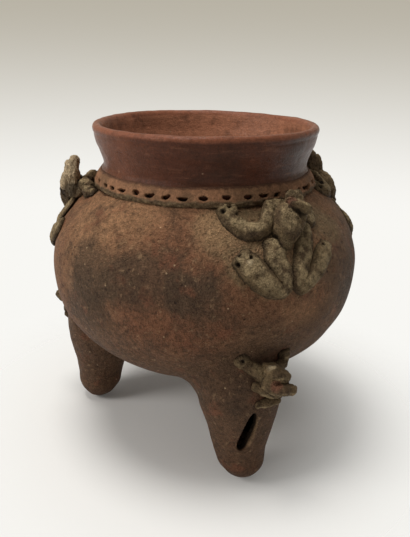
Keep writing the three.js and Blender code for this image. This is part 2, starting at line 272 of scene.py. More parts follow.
def finished(mesh, modifiers):
    """The mesh with modifiers applied, each given as a type and its settings."""
    worked = linked(mesh.name, mesh)
    for kind, settings in modifiers:
        modifier = worked.modifiers.new(kind.title(), kind)
        for key, value in settings.items():
            setattr(modifier, key, value)
    done = bpy.data.meshes.new_from_object(worked.evaluated_get(bpy.context.evaluated_depsgraph_get()))
    bpy.data.objects.remove(worked)
    done.name = mesh.name
    return done


def fused(mesh, grain):
    """Overlapping skins made one, with softened edges, on a grid of cells grain mm wide."""
    remesh = ("REMESH", {"mode": "VOXEL", "voxel_size": grain * MM})
    soften = ("SMOOTH", {"factor": 0.5, "iterations": 2})
    return finished(mesh, [remesh, soften])


def places(mesh):
    """The mesh's vertices in millimetres about the vase's axis."""
    flat = np.empty(len(mesh.vertices) * 3)
    mesh.vertices.foreach_get("co", flat)
    return flat.reshape(-1, 3) / MM - AXIS


def directions(mesh):
    """The outward direction at each vertex."""
    flat = np.empty(len(mesh.vertices) * 3)
    mesh.vertex_normals.foreach_get("vector", flat)
    return flat.reshape(-1, 3)


def placed(mesh, spots):
    """Puts the mesh's vertices at spots in millimetres about the vase's axis."""
    mesh.vertices.foreach_set("co", ((spots + AXIS) * MM).ravel())
    mesh.update()


def pressed(mesh, depth):
    """The mesh with each vertex moved in by depth(places) mm along its normal."""
    spots = places(mesh)
    placed(mesh, spots - directions(mesh) * depth(spots)[:, None])


def painted(mesh, key, shares):
    """Stores a share from 0 to 1 on each vertex, for the material to read by its key."""
    layer = mesh.attributes.new(key, "FLOAT", "POINT")
    layer.data.foreach_set("value", np.clip(shares, 0, 1).astype(np.float32).ravel())


def piece(mesh, material, nodes, body="vase"):
    """A finished piece that rides on a body and stands for the CAD nodes it replaces."""
    made = linked(mesh.name, mesh)
    mesh.materials.clear()
    mesh.materials.append(material)
    mesh.polygons.foreach_set("use_smooth", np.ones(len(mesh.polygons), bool))
    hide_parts(*nodes)
    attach(made, body)
    return made


# Shading

def tone(red, green, blue):
    """A colour given as it shows on a screen, 0 to 255, in the renderer's linear values."""
    parts = [c / 255 for c in (red, green, blue)]
    return [c / 12.92 if c < 0.04045 else ((c + 0.055) / 1.055) ** 2.4 for c in parts] + [1]


class Signal:
    """A socket that is added, scaled and compared like a number."""

    def __init__(self, shading, socket):
        self.shading = shading
        self.socket = socket

    def __add__(self, other):
        return self.shading.math("ADD", self, other)

    __radd__ = __add__

    def __sub__(self, other):
        return self.shading.math("SUBTRACT", self, other)

    def __rsub__(self, other):
        return self.shading.math("SUBTRACT", other, self)

    def __mul__(self, other):
        return self.shading.math("MULTIPLY", self, other)

    __rmul__ = __mul__


class Shading:
    """A node tree, and one way to add any node to it."""

    def __init__(self, tree):
        self.tree = tree

    def node(self, kind, settings=None, inputs=None, output=0):
        made = self.tree.nodes.new(kind)
        for key, value in (settings or {}).items():
            setattr(made, key, value)
        for key, value in (inputs or {}).items():
            self.feed(made.inputs[key], value)
        return Signal(self, made.outputs[output])

    def feed(self, socket, value):
        if isinstance(value, Signal):
            self.tree.links.new(value.socket, socket)
        else:
            socket.default_value = value

    def math(self, operation, first, second):
        return self.node("ShaderNodeMath", {"operation": operation}, {0: first, 1: second})

    def between(self, signal, start, stop):
        """0 at start, 1 at stop and an S-curve between."""
        inputs = {"Value": signal, "From Min": start, "From Max": stop}
        return self.node("ShaderNodeMapRange", {"interpolation_type": "SMOOTHSTEP"}, inputs)

    def blend(self, share, first, second):
        """Colour first where share is 0 and second where it is 1."""
        return self.node("ShaderNodeMix", {"data_type": "RGBA"}, {0: share, 6: first, 7: second}, 2)

    def seen(self):
        """1 for what is looked at, straight or in a reflection, and 0 for light that falls on things."""
        kinds = ("Camera", "Glossy", "Transmission")
        rays = [self.node("ShaderNodeLightPath", output=f"Is {kind} Ray") for kind in kinds]
        return self.math("MINIMUM", rays[0] + rays[1] + rays[2], 1)

    def upward(self, vector):
        """How far a place or a direction goes up."""
        return self.node("ShaderNodeSeparateXYZ", None, {0: vector}, 2)


class Finish(Shading):
    """A material: a Principled shader and what goes in front of it, by place on the vase in millimetres."""

    def __init__(self, name, gloss=0.5):
        self.material = bpy.data.materials.new(name)
        self.material.use_nodes = True
        super().__init__(self.material.node_tree)
        self.shader = self.tree.nodes["Principled BSDF"]
        self.shader.inputs["Specular IOR Level"].default_value = gloss
        metres = self.node("ShaderNodeTexCoord", output="Object")
        self.place = self.node("ShaderNodeVectorMath", {"operation": "SCALE"}, {0: metres, 3: 1 / MM})

    def noise(self, size, seed, detail, stretch=None, rough=0.55):
        """Cloudy noise from 0 to 1 with blotches about size mm across."""
        place = self.place
        if stretch:
            place = self.node("ShaderNodeVectorMath", {"operation": "MULTIPLY"}, {0: place, 1: stretch})
        inputs = {"Vector": place, "W": seed, "Scale": 1 / size, "Detail": detail, "Roughness": rough}
        return self.node("ShaderNodeTexNoise", {"noise_dimensions": "4D"}, inputs)

    def cells(self, size, seed):
        """Distance from scattered middles, 0 at each, as a share of size mm."""
        inputs = {"Vector": self.place, "W": seed, "Scale": 1 / size}
        return self.node("ShaderNodeTexVoronoi", {"voronoi_dimensions": "4D"}, inputs)

    def near(self, azimuth, radius, height, reach, ragged, seed):
        """1 at a place on the vase and 0 from reach mm away, with an edge made ragged by noise."""
        centre = around(math.radians(azimuth), radius, height) + AXIS
        inputs = {0: self.place, 1: centre.tolist()}
        away = self.node("ShaderNodeVectorMath", {"operation": "DISTANCE"}, inputs, "Value")
        away = away + (self.noise(reach * 0.4, seed, 4) - 0.5) * (ragged * reach)
        return self.between(away, reach, reach * 0.25)

    def painted(self, key):
        """The share that the piece's vertices hold under a key."""
        return self.node("ShaderNodeAttribute", {"attribute_name": key}, output="Fac")

    def lit(self, color, share):
        """The colour made lighter or darker by a number."""
        return self.node("ShaderNodeVectorMath", {"operation": "SCALE"}, {0: color, 3: share})

    def mottled(self, color, shade, share, size, seed, edges=(0.5, 0.66), detail=4, rough=0.55):
        """The colour with a share of another shade in cloudy patches, where noise passes its edges."""
        patches = self.between(self.noise(size, seed, detail, rough=rough), *edges)
        return self.blend(patches * share, color, shade)

    def grit(self, seed):
        """Grains from half a millimetre to two across, about -0.3 in dark ones to 0.3 in pale ones."""
        fine = self.noise(0.5, seed, 2, rough=0.6) - 0.5
        coarse = self.noise(1.5, seed + 0.3, 3, rough=0.65) - 0.5
        return fine * 1.5 + coarse * 1.4

    def set(self, color, roughness, height=None, strength=0.5):
        """The material with its colour, its roughness and a relief in millimetres."""
        self.feed(self.shader.inputs["Base Color"], color)
        self.feed(self.shader.inputs["Roughness"], roughness)
        if height is not None:
            inputs = {"Height": height, "Distance": MM, "Strength": strength}
            bumped = self.node("ShaderNodeBump", None, inputs)
            self.feed(self.shader.inputs["Normal"], bumped)
        return self.material


def fired_clay(name):
    """Brown clay with red and grey clouds from the fire, mottled and gritty, with pale specks, pits and a
    dry crust, and painted light: paler on the upper left, with painted shade low down and in the legs'
    hollows, and a painted highlight on the slit's right edge."""
    clay = Finish(name, 0.12)
    color = clay.mottled(tone(140, 103, 75), tone(118, 83, 60), 1, 24, 1.3, (0.4, 0.62))
    # painted light: a paler patch on the upper left of the bowl, on the side the lamps light
    color = clay.blend(clay.near(-38, 52, 96, 34, 0.7, 1.7) * 0.7, color, tone(154, 116, 84))
    color = clay.blend(clay.near(-12, 60, 76, 34, 0.9, 2.0) * 0.7, color, tone(116, 74, 53))
    color = clay.blend(fire_clouds(clay) * 0.85, color, tone(76, 62, 48))
    # painted shade: darker and greyer low on the bowl, where shade falls under it; the legs share this tone
    low_shade = clay.between(clay.upward(clay.place) + clay.noise(22, 4.4, 3) * 30, 88, 56)
    color = clay.blend(low_shade * 0.8, color, tone(82, 62, 47))
    color = clay.mottled(color, tone(72, 56, 43), 0.6, 9, 7.4, detail=5, rough=0.68)
    color = clay.mottled(color, tone(126, 76, 55), 0.4, 7, 7.8, (0.55, 0.7))
    color = clay.mottled(color, tone(64, 47, 35), 0.5, 2.6, 8.1, (0.52, 0.66), rough=0.7)
    color = clay.mottled(color, tone(166, 136, 102), 0.4, 2.2, 8.6, (0.56, 0.7), rough=0.7)
    crust = dry_crust(clay)
    color = clay.blend(crust * 0.75, color, tone(124, 106, 78))
    color = clay.blend(clay.near(5, 49, 98, 11, 0.8, 7.0) * 0.6, color, tone(158, 126, 92))
    # painted highlight: the slit's right-hand bevelled edge drawn pale
    color = clay.blend(clay.painted("bevel_highlight") * 0.5, color, tone(150, 122, 92))
    specks = clay.between(clay.cells(3.0, 10.0), 0.15, 0.07)
    color = clay.blend(specks * 0.7, color, tone(196, 168, 132))
    pits = clay.between(clay.cells(3.6, 11.0), 0.16, 0.08)
    pitted = clay.between(clay.cells(2.0, 11.5), 0.3, 0.14) * crust
    color = clay.blend(clay.math("MAXIMUM", pits, pitted) * 0.75, color, tone(48, 34, 25))
    # painted shade: the leg's hollow behind the slit is drawn nearly black
    color = clay.blend(clay.painted("hollow_shade") * 0.9, color, tone(26, 19, 14))
    grit = clay.grit(12.0)
    relief = grit * 0.8 + clay.noise(5.5, 13.0, 2) * 0.6 + clay.noise(2.2, 14.0, 3) * crust * 1.1
    relief = relief - pits * 0.5 - pitted * 0.8
    roughness = clay.noise(9, 15.0, 3) * 0.24 + 0.5
    return clay.set(clay.lit(color, grit * 1.3 + 1), roughness, relief, 0.9)


def fire_clouds(clay):
    """Smoke-dark patches where the fire touched the pot, strongest where several meet."""
    spots = (
        (-40, 60, 84, 17), (-20, 60, 82, 20), (-2, 60, 78, 14),
        (-42, 60, 66, 20), (72, 58, 70, 44), (20, 52, 48, 34),
    )
    smoke = clay.between(clay.noise(38, 7.1, 5, rough=0.6), 0.52, 0.72) * 0.7
    for order, (azimuth, radius, height, reach) in enumerate(spots):
        smoke = smoke + clay.near(azimuth, radius, height, reach, 0.9, 3.0 + order)
    return clay.between(smoke, 0.1, 1.3)


def dry_crust(clay):
    """Olive and pale crust round the front creature, in broken patches."""
    crust = clay.near(15, 52, 97, 22, 0.8, 6.0) + clay.near(20, 58, 87, 15, 0.8, 6.5)
    crust = crust + clay.near(56, 53, 96, 13, 0.8, 6.8) + clay.near(30, 57, 90, 19, 0.4, 6.2)
    broken = clay.between(clay.noise(4, 6.9, 4, rough=0.65), 0.38, 0.6)
    return clay.between(crust, 0.1, 0.9) * (broken * 0.5 + 0.5)


def red_slip():
    """Dark red slip burnished in level strokes, paler inside and rubbed along the lip, with painted light on
    the left side.
    """
    slip = Finish("red_slip", 0.14)
    inside = slip.painted("inside")
    color = slip.mottled(tone(84, 48, 33), tone(62, 37, 25), 1, 24, 21.0, (0.4, 0.65))
    # painted light: the neck paler on its left side, toward the lamps
    color = slip.blend(slip.near(-62, 41, 117, 30, 0.5, 21.2) * 0.6, color, tone(128, 78, 54))
    color = slip.blend(inside, color, tone(156, 104, 78))
    inner = slip.between(slip.noise(13, 21.5, 4), 0.5, 0.7) * inside
    color = slip.blend(inner * 0.6, color, tone(104, 72, 56))
    rubbed = slip.between(slip.painted("lip") + slip.noise(7, 22.0, 4) * 0.5, 0.8, 1.2)
    color = slip.blend(rubbed * 0.75, color, tone(136, 84, 62))
    strokes = slip.noise(8, 23.0, 4, (1, 1, 7), 0.6)
    color = slip.blend(slip.between(strokes, 0.52, 0.72) * 0.4, color, tone(124, 84, 64))
    color = slip.mottled(color, tone(60, 38, 28), 0.4, 5, 23.5, detail=5, rough=0.68)
    specks = slip.between(slip.cells(4.0, 25.0), 0.12, 0.06)
    color = slip.blend(specks * 0.6, color, tone(160, 128, 102))
    grit = slip.grit(26.0)
    height = strokes * 0.4 + grit * 0.3
    roughness = slip.noise(7, 27.0, 3, (1, 1, 4)) * 0.25 + 0.2
    return slip.set(slip.lit(color, grit * 0.75 + 1), roughness, height, 0.5)


def band_clay():
    """Pinkish clay above the punctures, rough and darker along the lower edge, with painted shade black in
    the holes.
    """
    clay = Finish("band_clay", 0.12)
    color = clay.mottled(tone(146, 106, 78), tone(120, 90, 66), 1, 9, 31.0, (0.4, 0.65))
    edge = clay.painted("edge")
    rough = clay.between(clay.noise(1.8, 32.0, 4, rough=0.7), 0.42, 0.62)
    color = clay.blend(edge * 0.85, color, tone(72, 61, 46))
    color = clay.blend(edge * rough * 0.5, color, tone(132, 112, 82))
    color = clay.blend(clay.painted("top") * 0.8, color, tone(84, 58, 45))
    color = clay.mottled(color, tone(76, 58, 44), 0.4, 5, 32.5, detail=5, rough=0.68)
    # painted shade: the punctures drawn nearly black
    color = clay.blend(clay.painted("hole"), color, tone(24, 16, 12))
    grit = clay.grit(33.0)
    height = grit * 0.4 + clay.noise(2.4, 34.0, 3) * edge * 0.9
    return clay.set(clay.lit(color, grit * 0.9 + 1), clay.noise(5, 35.0, 2) * 0.2 + 0.6, height, 0.7)


def figure_clay():
    """Grey-tan clay, encrusted and gritty, with painted shade in the creases and holes, paler crests from
    wear and a painted highlight, painted highlights on the heads, and reddish in the mouths.
    """
    clay = Finish("figure_clay", 0.12)
    color = clay.mottled(tone(114, 95, 69), tone(84, 67, 49), 1, 8, 51.0, (0.38, 0.62))
    crust = clay.between(clay.noise(5, 52.0, 4, rough=0.65), 0.5, 0.66)
    color = clay.blend(crust * 0.5, color, tone(138, 119, 88))
    color = clay.mottled(color, tone(62, 49, 37), 0.6, 3, 52.5, (0.5, 0.68), rough=0.68)
    # paler crests: wear, and a painted highlight on faces turned away from the pot
    wear_and_highlight = clay.painted("wear_and_highlight") * clay.between(clay.noise(2.4, 53.0, 4), 0.35, 0.6)
    color = clay.blend(wear_and_highlight * 0.6, color, tone(180, 158, 120))
    color = clay.blend(clay.painted("red") * 0.7, color, tone(118, 76, 60))
    # paler spots: painted highlights on the heads, and pale crust at the left foot
    color = clay.blend(clay.painted("pale") * 0.75, color, tone(196, 176, 142))
    # painted shade in the creases, in the pressed holes and where the strips meet the pot
    color = clay.blend(clay.painted("dark"), color, tone(36, 27, 20))
    grit = clay.grit(54.0)
    relief = grit * 0.9 + crust * clay.noise(0.8, 55.0, 3) * 0.7 + clay.noise(3, 57.0, 3) * 0.8
    return clay.set(clay.lit(color, grit * 1.3 + 1), clay.noise(4, 56.0, 2) * 0.2 + 0.55, relief, 1.0)


def pellet_clay():
    """Plain pale-brown clay, gritty."""
    clay = Finish("pellet_clay", 0.25)
    color = clay.mottled(tone(140, 106, 80), tone(98, 72, 54), 1, 2, 61.0, (0.4, 0.65))
    return clay.set(color, clay.noise(3, 62.0, 2) * 0.2 + 0.65, clay.noise(0.9, 63.0, 3) * 0.3, 0.5)


# Pots

def bowl_marks(spots):
    """Gentle dents from the potter's hands, in mm, shared by the bowl and what is drawn out of it."""
    return 0.35 * waver(spots, 48, 3) + 0.12 * waver(spots, 15, 4)


def make_bowl(material):
    """Superellipse turned about the axis, outside and inside, with gentle dents from the potter's hands."""
    outer_stop = math.asin(((SEAT_HEIGHT - BOWL_MIDDLE) / BOWL_RISE) ** (BOWL_SQUARENESS / 2))
    outer = bowl_profile(0, np.linspace(-math.pi / 2 + 0.01, outer_stop, 110))
    inner = bowl_profile(BOWL_WALL, np.linspace(outer_stop * 1.02, -math.pi / 2 + 0.02, 70))
    profile = np.vstack([outer, inner])
    azimuth = np.linspace(0, 2 * math.pi, 360, endpoint=False)
    mesh = mesh_of("bowl_clay", [shell(around(azimuth, profile[:, :1], profile[:, 1:]))])
    pressed(mesh, bowl_marks)
    piece(mesh, material, ["bowl"])


def bowl_profile(inset, angles):
    """Radius and height of a superellipse at angles from its widest ring, moved in by inset."""
    power = 2 / BOWL_SQUARENESS
    radius = (BOWL_RADIUS - inset) * np.abs(np.cos(angles)) ** power
    tall = np.where(angles > 0, BOWL_RISE, BOWL_DEPTH) - inset
    return np.stack([radius, BOWL_MIDDLE + tall * np.sign(angles) * np.abs(np.sin(angles)) ** power], -1)


def make_neck(material):
    """A flared wall turned from a spline profile, with a rolled lip that a faint line marks off and that
    wavers a little, by sine waves."""
    outline = [
        (NECK_FOOT - 1.0, SEAT_HEIGHT - 0.5),
        (NECK_FOOT + 0.6, SEAT_HEIGHT + 3.5),
        (NECK_FOOT + 0.2, NECK_WAIST_HEIGHT - 3.2),
        (NECK_FOOT - 0.5, NECK_WAIST_HEIGHT - 1.8),
        (NECK_WAIST, NECK_WAIST_HEIGHT),
        (NECK_WAIST + 1.2, NECK_WAIST_HEIGHT + 4.4),
        (LIP_RADIUS - 1.1, LIP_HEIGHT - 6.8),
        (LIP_RADIUS - 0.4, LIP_HEIGHT - 3.7),
        (LIP_RADIUS, LIP_HEIGHT - 1.6),
        (LIP_RADIUS - 0.5, LIP_HEIGHT - 0.4),
        (LIP_RADIUS - 1.7, LIP_HEIGHT),
        (LIP_RADIUS - 3.0, LIP_HEIGHT - 0.7),
        (LIP_RADIUS - 3.8, LIP_HEIGHT - 2.7),
        (LIP_RADIUS - 4.8, LIP_HEIGHT - 7.1),
        (NECK_WAIST - NECK_WALL, NECK_WAIST_HEIGHT),
        (NECK_WAIST - NECK_WALL - 0.4, SEAT_HEIGHT + 1),
        (NECK_WAIST - NECK_WALL, SEAT_HEIGHT - 2),
    ]
    profile = curve(outline, 118)
    azimuth = np.linspace(0, 2 * math.pi, 400, endpoint=False)
    lip = smooth(profile[:, 1:], NECK_WAIST_HEIGHT + 1, LIP_HEIGHT - 0.6)
    sway = 0.1 * np.sin(2 * azimuth + 0.5) + 0.08 * np.sin(3 * azimuth + 2.2) + 0.06 * np.sin(7 * azimuth)
    groove = np.exp(-((profile[:, 1:] - LIP_HEIGHT + 3.2) / 0.5) ** 2) * (profile[:, :1] > NECK_WAIST)
    height = profile[:, 1:] + lip * sway
    radius = profile[:, :1] + lip * 0.2 * np.sin(5 * azimuth + 1) - 0.18 * groove
    mesh = mesh_of("neck_clay", [shell(around(azimuth, radius, height), True)])
    pressed(mesh, lambda spots: 0.12 * waver(spots, 20, 5) + 0.06 * waver(spots, 7, 6))
    spots = places(mesh)
    radius = np.hypot(spots[:, 0], spots[:, 1])
    levels = (SEAT_HEIGHT - 2.5, NECK_WAIST_HEIGHT, LIP_HEIGHT - 3.6, LIP_HEIGHT + 0.4)
    middles = (NECK_WAIST - 0.9, NECK_WAIST - 1.7, NECK_WAIST + 0.3, LIP_RADIUS - 2.2)
    painted(mesh, "inside", smooth(np.interp(spots[:, 2], levels, middles) - radius, -0.8, 0.8))
    painted(mesh, "lip", smooth(spots[:, 2], LIP_HEIGHT - 4.1, LIP_HEIGHT - 0.6))
    piece(mesh, material, ["neck"])


def puncture_azimuths():
    """Degrees of the punctures: those seen from the front, and the rest spaced evenly behind."""
    rest = np.arange(FRONT_PUNCTURES[-1] + 8.5, 360 + FRONT_PUNCTURES[0] - 4, 8.6)
    return np.concatenate([FRONT_PUNCTURES, rest + 1.2 * np.sin(rest)])


def make_band(material):
    """A ring of pressed clay with a lumpy, broken lower edge and slanting punctures jabbed along it."""
    section = [
        (BAND_RADIUS - 4.0, BAND_FOOT),
        (BAND_RADIUS - 1.3, BAND_FOOT + 0.1),
        (BAND_RADIUS - 0.3, BAND_FOOT + 0.8),
        (BAND_RADIUS, BAND_FOOT + 1.9),
        (BAND_RADIUS - 0.2, BAND_FOOT + 3.0),
        (BAND_RADIUS - 0.6, HOLE_HEIGHT + 0.5),
        (BAND_RADIUS - 1.3, BAND_TOP - 1.6),
        (BAND_RADIUS - 2.0, BAND_TOP - 0.7),
        (BAND_RADIUS - 2.7, BAND_TOP),
        (BAND_RADIUS - 3.9, BAND_TOP - 0.3),
        (BAND_RADIUS - 4.5, BAND_FOOT + 3.0),
    ]
    profile = curve(section + section[:1], 66)[:-1]
    radius, level = profile[:, :1], profile[:, 1:]
    azimuth = np.linspace(0, 2 * math.pi, 1400, endpoint=False)
    ring = around(azimuth, radius, level)
    low_part = smooth(level, BAND_FOOT + 2.9, BAND_FOOT + 1.4)
    lumps = low_part * (0.36 * waver(ring, 5, 8) + 0.34 * waver(ring, 2.2, 9))
    sway = 0.2 * np.sin(2 * azimuth + 0.6) + 0.15 * np.sin(5 * azimuth) + 0.1 * np.sin(11 * azimuth + 1)
    hole, crumb = punched(azimuth, radius, level + 0.12 * waver(ring, 1.2, 11))
    spots = around(azimuth, radius + lumps, level + sway + 0.5 * lumps)
    spots = spots - (1.9 * hole - 0.3 * crumb)[..., None] * around(azimuth, 1.0, 0.35)
    mesh = mesh_of("neck_band_clay", [shell(spots, True)])
    marked = level + 0.3 * waver(ring, 3, 10)
    # painted shade inside the punctures, for the material to draw them black
    painted(mesh, "hole", smooth(hole, 0.25, 0.7))
    painted(mesh, "edge", smooth(marked, BAND_FOOT + 2.9, BAND_FOOT + 2.1))
    painted(mesh, "top", smooth(marked, BAND_TOP - 0.9, BAND_TOP - 0.2))
    piece(mesh, material, ["neck_band"])


def punched(azimuth, radius, level):
    """Depth shares of the punctures, each a slanting ellipse that curls up at its ends, and of the crumbs
    below them."""
    hole = np.zeros(level.shape)
    crumb = np.zeros(level.shape)
    facing = smooth(radius, BAND_RADIUS - 2.5, BAND_RADIUS - 1.9)
    rng = np.random.default_rng(12)
    for degrees in puncture_azimuths():
        along = np.radians((np.degrees(azimuth) - degrees + 180) % 360 - 180) * (BAND_RADIUS - 0.5)
        up = level - (HOLE_HEIGHT + rng.uniform(-0.25, 0.25))
        up = up + along * rng.uniform(-0.25, 0.12) - along ** 2 * rng.uniform(0.0, 0.12)
        reach = np.sqrt((along / rng.uniform(1.5, 2.1)) ** 2 + (up / rng.uniform(0.5, 0.8)) ** 2)
        hole = np.maximum(hole, facing * smooth(reach, 1.1, 0.72))
        below = np.exp(-((along - rng.uniform(-0.6, 0.6)) / 0.8) ** 2 - ((up + 1.15) / 0.4) ** 2)
        crumb = np.maximum(crumb, facing * below * rng.uniform(0.2, 1.2))
    return hole, crumb


def leg_points(angle, height, inset=0.0):
    """Points of the leg at azimuth 0, at an angle round its leaning axis from its outer side, moved in by
    inset."""
    angle, height = np.broadcast_arrays(angle, height)
    radius = np.maximum(leg_radius(height) - inset, NEST_RADIUS if inset else 0)
    return np.stack([radius * np.sin(angle), -radius * np.cos(angle) - leg_axis(height), height], -1)


def meeting_heights(angle, inset, depth):
    """Heights at which the leg's skin, moved in by inset, is depth mm under the bowl's, found by halving
    the stretch from 22 mm up to the leg's top."""
    below, above = np.full(angle.shape, 22.0), np.full(angle.shape, LEG_TOP)
    for _ in range(24):
        middle = (below + above) / 2
        outside = off_bowl(leg_points(angle, middle, inset))[0] > -depth
        below = np.where(outside, middle, below)
        above = np.where(outside, above, middle)
    return below


def leg_skin(angle):
    """The leg's outside up to the bowl, with a rounded joint that ends under the bowl's skin.

    With d the distance to the bowl and R the joint's radius, points move out along the bowl by
    R (1 - sqrt(1 - (1 - d / R)^2)).
    """
    share = 0.5 - 0.5 * np.cos(np.linspace(0, math.pi, 96))[:, None]
    points = leg_points(angle, share * meeting_heights(angle, 0, 0))
    reach = JOINT_RADIUS - 2.2 * np.sin(angle) - 1.5 * np.cos(angle)
    gap, away = off_bowl(points)
    out = np.broadcast_to(around(angle, 1.0, 0.0), points.shape)
    out = out - away * (out * away).sum(-1, keepdims=True)
    out /= np.linalg.norm(out, axis=-1, keepdims=True)
    bend = np.clip(1 - gap / reach, 0, 1)
    moved = points + out * (reach * (1 - np.sqrt(1 - bend ** 2)))[..., None]
    drift, away = off_bowl(moved)
    moved -= away * (drift - gap)[..., None]
    return np.concatenate([moved, moved[-1:] - away[-1:] * 0.45, moved[-1:] - away[-1:] * 0.9])


def make_leg(number, azimuth, material):
    """A hollow leg drawn out of the bowl, with a leaf-shaped slit cut through its outer side."""
    angle = np.linspace(0, 2 * math.pi, 140, endpoint=False)
    depth = np.linspace(0, 1, 40)[:, None]
    inner_top = meeting_heights(angle, LEG_WALL, 0.9)
    hollow = leg_points(angle, inner_top + (LEG_SOLE - inner_top) * depth, LEG_WALL)
    leg = mesh_of(f"leg_{number}_clay", [shell(np.vstack([leg_skin(angle), hollow]))])
    cutter = linked("slit", mesh_of("slit", [shell(slit_points())]))
    leg = finished(leg, [("BOOLEAN", {"object": cutter, "operation": "DIFFERENCE", "solver": "EXACT"})])
    bpy.data.objects.remove(cutter)
    leg = fused(leg, 0.36)
    spots = places(leg)
    # painted highlight along the slit's right-hand edge
    painted(leg, "bevel_highlight", slit_bevel_highlight(spots))
    # painted shade inside the leg's hollow, behind its outer skin and away from the bowl
    painted(leg, "hollow_shade", smooth(off_leg(spots), -0.5, -1.4) * smooth(off_bowl(spots)[0], 0.5, 2.0))
    spots[:, 0] += FOOT_DRIFT * smooth(spots[:, 2], 20, 0)
    spots = turned(spots, azimuth)
    placed(leg, spots)
    gap, away = off_bowl(spots)
    by_bowl = smooth(gap, JOINT_RADIUS, 0)
    marks = (1 - by_bowl) * (0.2 * waver(spots, 16, 20 + number) + 0.07 * waver(spots, 5, 30))
    spots = spots - away * (by_bowl * bowl_marks(spots))[:, None] - directions(leg) * marks[:, None]
    spots[:, 2] = np.maximum(spots[:, 2], SOLE_CLEARANCE)
    placed(leg, spots)
    piece(leg, material, [f"leg_{number}"])


def slit_half_width(tall):
    """Half the slit's width at a share of its length: a leaf, (4 t (1 - t))^0.4, narrower upwards."""
    return SLIT_WIDTH / 2 * (4 * tall * (1 - tall)) ** 0.4 * (1 - 0.35 * tall)


def slit_points():
    """A leaf outline carried outwards from the leg's axis, wider on the way out so that the cut is
    bevelled."""
    angle = np.linspace(0, 2 * math.pi, 48, endpoint=False)
    tall = 0.5 - 0.5 * np.cos(angle)
    out = np.array([0.0, 9.5, 12.5, 15.0, 20.0])
    grow = np.array([0.8, 0.9, 1.0, 1.25, 1.6])
    x = np.sign(np.sin(angle)) * slit_half_width(tall) * grow[:, None]
    z = (tall - 0.5) * (SLIT_LENGTH + grow[:, None] - 1)
    tilt = math.radians(SLIT_TILT)
    middle = SLIT_FOOT + SLIT_LENGTH / 2
    shift = SLIT_SHIFT + SLIT_LENGTH / 2 * math.sin(tilt)
    y = np.broadcast_to(-out[:, None] - leg_axis(middle), x.shape)
    return np.stack([x * math.cos(tilt) + z * math.sin(tilt) + shift, y,
                     z * math.cos(tilt) - x * math.sin(tilt) + middle], -1)


def slit_bevel_highlight(spots):
    """1 on the slit's right-hand edge, where the cut is bevelled and a painted highlight makes it pale, and
    0 from 1.2 mm beside it.
    """
    tilt = math.radians(SLIT_TILT)
    x = spots[:, 0] - SLIT_SHIFT - SLIT_LENGTH / 2 * math.sin(tilt)
    z = spots[:, 2] - SLIT_FOOT - SLIT_LENGTH / 2
    tall = np.clip((z * math.cos(tilt) + x * math.sin(tilt)) / SLIT_LENGTH + 0.5, 0, 1)
    edge = x * math.cos(tilt) - z * math.sin(tilt) - slit_half_width(tall)
    outer = spots[:, 1] < -LEG_CIRCLE - 7
    beside = smooth(edge, -0.6, 0.1) * smooth(edge, 1.2, 0.4)
    return outer * beside * smooth(tall, 0.05, 0.2) * smooth(tall, 0.97, 0.8)


# Creatures

def roll(knots, lute=0.8, off_pot=None, lean=0.0):
    """A strip of clay: a squared ellipse carried along a spline, with blunt ends, pressed onto the pot.

    Knots are (x, y, z, half width w, half thickness t). The section is w |cos a|^s, t |sin a|^s with
    s = 0.8; its crest leans sideways by lean mm, and its feet spread by lute mm where they touch the pot.
    """
    line = curve(knots, 20 * len(knots))
    path, wide, thick = line[:, :3], line[:, 3:4], line[:, 4:5]
    tangent = np.gradient(path, axis=0)
    tangent /= np.linalg.norm(tangent, axis=1, keepdims=True)
    turn = np.linspace(math.pi / 2, 0.12, 10)[1:, None]
    closing = np.cos(turn) ** 0.75
    cap = [0.5 * (wide[end] + thick[end]) for end in (0, -1)]
    front = path[0] - tangent[0] * cap[0] * np.sin(turn)
    back = path[-1] + tangent[-1] * cap[1] * np.sin(turn[::-1])
    path = np.vstack([front, path, back])
    wide = np.vstack([wide[0] * closing, wide, wide[-1] * closing[::-1]])
    thick = np.vstack([thick[0] * closing, thick, thick[-1] * closing[::-1]])
    ends = len(turn)
    tangent = np.vstack([np.repeat(tangent[:1], ends, 0), tangent, np.repeat(tangent[-1:], ends, 0)])
    _, away = off_bowl(path)
    side = np.cross(tangent, away)
    side /= np.linalg.norm(side, axis=1, keepdims=True)
    away = np.cross(side, tangent)
    angle = np.linspace(0, 2 * math.pi, 36, endpoint=False)
    over = np.sign(np.cos(angle)) * np.abs(np.cos(angle)) ** 0.8
    up = np.sign(np.sin(angle)) * np.abs(np.sin(angle)) ** 0.8
    across = wide * over + lean * np.clip(up, 0, 1)
    points = path[:, None] + side[:, None] * across[..., None] + away[:, None] * (thick * up)[..., None]
    if lute:
        gap = off_pot(points) if off_pot else off_bowl(points)[0]
        spread = lute * np.clip(1 - gap / 1.4, 0, 1) ** 2
        points = points + side[:, None] * (np.sign(over) * spread)[..., None]
    return shell(points), np.hstack([path, (wide + thick) / 2])[::3]


def on_shoulder(across, drop, lift, wide=0.0, thick=0.0):
    """A knot on the shoulder: mm across, below the creatures' perch and off the skin, and its size."""
    height = PERCH_HEIGHT - drop
    radius = bowl_radius(height)
    skin = around(across / radius, radius, height)
    _, away = off_bowl(skin)
    return [*(skin + away * lift), wide, thick]


def by_neck(across, radius, height, wide=0.0, thick=0.0):
    """A knot beside the neck: mm across, from the vase's axis and up, and its size."""
    return [*around(across / radius, radius, height), wide, thick]


def pricks(rows, lift, depth):
    """Holes pressed into a creature on the shoulder, each a middle, a reach and a depth."""
    return [(on_shoulder(across, drop, lift)[:3], reach, depth) for across, drop, reach in rows]


